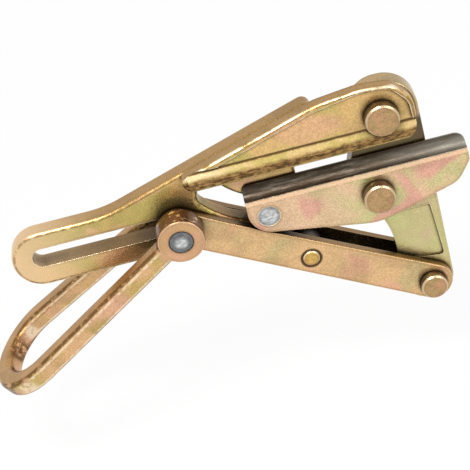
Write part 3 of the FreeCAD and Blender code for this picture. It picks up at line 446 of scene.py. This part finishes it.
def bright_rivet(name):
    # Steel with a clear zinc plating: a pale silver, with the fine scratches of the riveting
    # tool and a darker rim of painted shade
    material = bpy.data.materials.new(name)
    tree = empty_tree(material)
    place = add(tree, "TexCoord")
    drawn = add(tree, "Mapping", {"Vector": place.outputs["Object"], "Scale": (0.35, 1.0, 1.0)})
    scratches = {"Scale": per_metre(1.5), "Detail": 4.0, "Roughness": 0.55, "Distortion": 0.5}
    scuff = add(tree, "TexNoise", {"Vector": drawn, **scratches})
    pale = add(tree, "MapRange", {"Value": scuff, "From Min": 0.38, "From Max": 0.62}, **SOFT)
    colour = add(tree, "Mix", {"Factor": pale, "A": "AEAFB0", "B": "E2E3E1"}, **COLOURS)
    for centre, bright_mm, shade_mm, depth in BRIGHT_HEADS:
        near = around(tree, place, centre, *RIVET_ENDS, depth)
        shaded_rim = around(tree, place, centre, bright_mm, shade_mm, near)
        colour = add(tree, "Mix", {"Factor": shaded_rim, "A": colour, "B": "4C4D50"}, **COLOURS)
    polish = {"From Min": 0.3, "From Max": 0.7, "To Min": 0.2, "To Max": 0.4}
    rough = add(tree, "MapRange", {"Value": scuff, **polish})
    skin = add(tree, "Bump", {"Height": scuff, "Distance": 0.1 * MM, "Strength": 0.8})
    finish = {"Base Color": colour, "Metallic": 0.95, "Roughness": rough, "Normal": skin}
    add(tree, "OutputMaterial", {"Surface": add(tree, "BsdfPrincipled", finish)})
    return material


def turned_steel(name):
    # Plain turned steel inside the linkage: dark and oiled, with rings left by the lathe. They
    # are drawn at 3 mm, much coarser than a lathe's feed, so that they show.
    material = bpy.data.materials.new(name)
    tree = empty_tree(material)
    place = add(tree, "TexCoord")
    feed = {"Scale": per_metre(3.0), "Distortion": 0.6, "Detail": 2.0}
    rings = {"Vector": place.outputs["Object"], **feed}
    rings = add(tree, "TexWave", rings, bands_direction="Y").outputs["Fac"]
    tone = add(tree, "Mix", {"Factor": rings, "A": "4B4642", "B": "6C655D"}, **COLOURS)
    rough = add(tree, "MapRange", {"Value": rings, "To Min": 0.36, "To Max": 0.46})
    finish = {"Base Color": tone, "Metallic": 0.9, "Roughness": rough}
    add(tree, "OutputMaterial", {"Surface": add(tree, "BsdfPrincipled", finish)})
    return material


# The film's tints on each piece: its three blotches, the painted shade where it faces up,
# the flank of painted dark reflection and the crest of wear and painted highlight along its
# edges, and the painted shade of its corners


def film(*tints):
    return dict(zip(("straw", "green", "rose", "tan", "dark_reflection_flank", "worn_and_highlight", "shade"), tints))


BODY = film("E3BC7E", "C8B56B", "E7B78B", "AC8856", "8A6734", "FDEED0", "3A2913")
LEVER = film("DCCB97", "CACE8E", "E0BEA2", "B59A6E", "8F7442", "FAECCB", "584A2C")
JAW = film("E9C49F", "D2CA90", "E6B099", "C7A27C", "9C7247", "FBEFD2", "6A5038")
BARS = film("E2BA88", "D2B884", "E6B48F", "94744C", "9A7444", "FBEED3", "2A1E0F")
BAIL = film("DFB384", "C8AC68", "E3B18D", "B98F5C", "6B4A28", "FBEBC9", "312312")
DOME = film("DDB367", "CDAA5E", "E2B06F", "B98F4C", "A87C3C", "FFF1CC", "3A2A14")
PINS = film("BE9A6E", "B99B6A", "C39872", "A98761", "8E6C48", "F3E1C2", "402E1E")


def dress(material, *nodes):
    # Give carried-over CAD nodes their finish
    for node in nodes:
        mesh = NODES[node].data
        mesh.materials.clear()
        mesh.materials.append(material)


def finishes():
    # Every node's finish, with the size of its blotches in mm and the place where its pattern
    # is cut from
    body_marks = [
        drift("X", -150, -205, "F5D3A6", 0.7),
        # A brown streak of painted dark reflection along the rounded edges
        painted_edge_reflections((0.6, 0.8, 0.96, 0.995, 0.6, "74552D")),
        jaw_lip,
        ridge_gleam,
        gripping_face(LIP_GROOVE + 0.4, LIP_GROOVE, WEB_FACE - 0.1),
    ]
    body = plated_forging("yellow_chromate_forging", BODY, 34, (0.3, 0.1, 0.7), body_marks)
    dress(body, "grip_body")

    lever_marks = [
        # Painted shadow of the upper jaw's lip across the lever
        shaded_band(-12, 14, "46372A", 0.88),
        drift("Z", -34, -52, "D2C68C", 0.45),
    ]
    lever = plated_forging("yellow_chromate_lever", LEVER, 40, (1.3, 0.4, 0.2), lever_marks)
    dress(lever, "swing_lever")

    jaw_marks = [jaw_edge_highlight(JAW_GROOVE, JAW_FACE), gripping_face(JAW_GROOVE, JAW_GROOVE + 0.7)]
    jaw = plated_forging("yellow_chromate_jaw", JAW, 38, (0.8, 0.9, 0.35), jaw_marks)
    dress(jaw, "lower_jaw")

    # The dark ring round the mid rivet is painted shade
    bar_marks = [ring_mark(MID_PIN, 4.3, 6.1, "3F2C12", 0.93), shaded_inner_faces(*BAR_BACKS)]
    bars = plated_forging("yellow_chromate_bars", BARS, 34, (0.1, 0.6, 0.9), bar_marks)
    dress(bars, "near_drawbar", "far_drawbar")

    bail_marks = [
        # Brown streaks of painted dark reflection beside broken painted highlights along the rod
        painted_edge_reflections(
            (0.12, 0.34, 0.68, 0.86, 0.9, "6E4C29"), (0.8, 0.9, 0.96, 0.995, 0.6, "FFF0D2")
        ),
        ring_mark(BAIL_PIN, 6.5, 15, "D6A680", 0.55),
        eye_side(BAIL_PIN, 13),
        # A dark ring of painted shade in the gap round the bail rivet
        ring_mark(BAIL_PIN, 5.6, 6.9, "34271A", 0.9, 0.4),
    ]
    bail = plated_forging("yellow_chromate_bail", BAIL, 28, (0.5, 0.2, 0.1), bail_marks)
    dress(bail, "bail")

    dress(plated_forging("yellow_chromate_dome", DOME, 6, (0.2, 0.3, 0.4)), "mid_rivet")

    pins = plated_forging("yellow_chromate_pins", PINS, 9, (0.9, 0.3, 0.4), [turned_head])
    dress(pins, "upper_pivot_pin", "jaw_pivot_pin", "drawbar_pin")
    dress(pins, "upper_pin_washer", "jaw_pin_washer", "drawbar_pin_washer")

    zinc = bright_rivet("bright_zinc_rivet")
    dress(zinc, "guide_rivet", "bail_rivet", "guide_washer", "near_eye_washer", "far_eye_washer")
    steel = turned_steel("turned_steel")
    dress(steel, "guide_bush", "slot_bush", "mid_spacer", "drawbar_pin_sleeve")


finishes()


# Floor, light and camera

FLOOR_REACH = 12.0
FLOOR_GAP = 0.3 * MM
FLOOR_GLOW = 0.93
ROOM_LIGHT = 0.55


def in_view(tree):
    # 1 for what the camera sees, straight or in a reflection or through glass, and 0 for light
    path = add(tree, "LightPath")
    share = path.outputs["Is Camera Ray"]
    for ray in ("Is Glossy Ray", "Is Transmission Ray"):
        share = add(tree, "Math", {0: share, 1: path.outputs[ray]}, operation="MAXIMUM")
    return share


def floor():
    # A wide pale floor, white to the camera and to reflections. The grip works on a cable in
    # the air, so the floor lies low enough for the bail to swing straight down above it
    corners = [vertex.co for vertex in NODES["bail"].data.vertices]
    reach = max(math.hypot(co.x - BAIL_PIN.x, co.z - BAIL_PIN.z) for co in corners)
    low = BAIL_PIN.z - reach - FLOOR_GAP
    sheet = bmesh.new()
    bmesh.ops.create_grid(sheet, x_segments=1, y_segments=1, size=FLOOR_REACH)
    bmesh.ops.translate(sheet, verts=sheet.verts, vec=(0, 0, low))
    mesh = bpy.data.meshes.new("floor")
    sheet.to_mesh(mesh)
    sheet.free()
    obj = bpy.data.objects.new("floor", mesh)
    bpy.context.scene.collection.objects.link(obj)
    mesh.materials.append(pale_floor())


def pale_floor():
    # Matt studio paper: an even near-white that takes the object's soft shadow
    material = bpy.data.materials.new("pale_floor")
    tree = empty_tree(material)
    matte = add(tree, "BsdfDiffuse", {"Color": "F4F4F2"})
    glow = add(tree, "Emission", {"Color": "FFFFFF", "Strength": 1.0})
    share = add(tree, "Math", {0: in_view(tree), 1: FLOOR_GLOW}, operation="MULTIPLY")
    both = add(tree, "MixShader", {0: share, 1: matte, 2: glow})
    add(tree, "OutputMaterial", {"Surface": both})
    return material


def world():
    # A soft even room: white to the camera and in reflections, dimmer as light
    room = bpy.data.worlds.new("room")
    bpy.context.scene.world = room
    tree = empty_tree(room)
    level = add(tree, "MapRange", {"Value": in_view(tree), "To Min": ROOM_LIGHT, "To Max": 1.0})
    sky = add(tree, "Background", {"Color": "FFFFFF", "Strength": level})
    add(tree, "OutputWorld", {"Surface": sky})


# What the lamps point at, in metres
GRIP_MIDDLE = Vector((-0.09, 0.0, -0.03))


def lamp(name, place, width, height, power):
    # A large soft area lamp
    light = bpy.data.lights.new(name, "AREA")
    light.shape = "RECTANGLE"
    light.size = width
    light.size_y = height
    light.energy = power
    obj = bpy.data.objects.new(name, light)
    obj.location = place
    obj.rotation_euler = (GRIP_MIDDLE - Vector(place)).to_track_quat("-Z", "Y").to_euler()
    bpy.context.scene.collection.objects.link(obj)


# The photograph's viewpoint, found by matching the pins and edges that it shows
AZIMUTH, ELEVATION, ROLL = math.radians(2.0), math.radians(33.0), math.radians(15.3)
DISTANCE = 1.0
VIEW_PIXELS = 470
PIXELS_PER_METRE = 1840
AIM = Vector((-89.83 * MM, 10.0 * MM, -34.43 * MM))


def camera():
    # The camera behind that viewpoint, turned about its own line of sight by the roll
    across = math.cos(ELEVATION)
    back = Vector((math.sin(AZIMUTH) * across, -math.cos(AZIMUTH) * across, math.sin(ELEVATION)))
    level = Vector((math.cos(AZIMUTH), math.sin(AZIMUTH), 0))
    rise = back.cross(level)
    right = math.cos(ROLL) * level - math.sin(ROLL) * rise
    up = math.sin(ROLL) * level + math.cos(ROLL) * rise
    lens = bpy.data.cameras.new("photograph")
    lens.sensor_fit = "HORIZONTAL"
    lens.angle = 2 * math.atan(VIEW_PIXELS / PIXELS_PER_METRE / 2 / DISTANCE)
    lens.clip_end = 50
    obj = bpy.data.objects.new("photograph", lens)
    turn = Matrix((right, up, back)).transposed().to_4x4()
    obj.matrix_world = Matrix.Translation(AIM + back * DISTANCE) @ turn
    bpy.context.scene.collection.objects.link(obj)
    bpy.context.scene.camera = obj


floor()
world()
lamp("key", (-0.35, -0.75, 1.25), width=0.5, height=0.35, power=16)
lamp("fill", (0.9, -0.6, 0.7), width=0.6, height=0.6, power=5)
camera()
bpy.context.scene.view_settings.view_transform = "Standard"
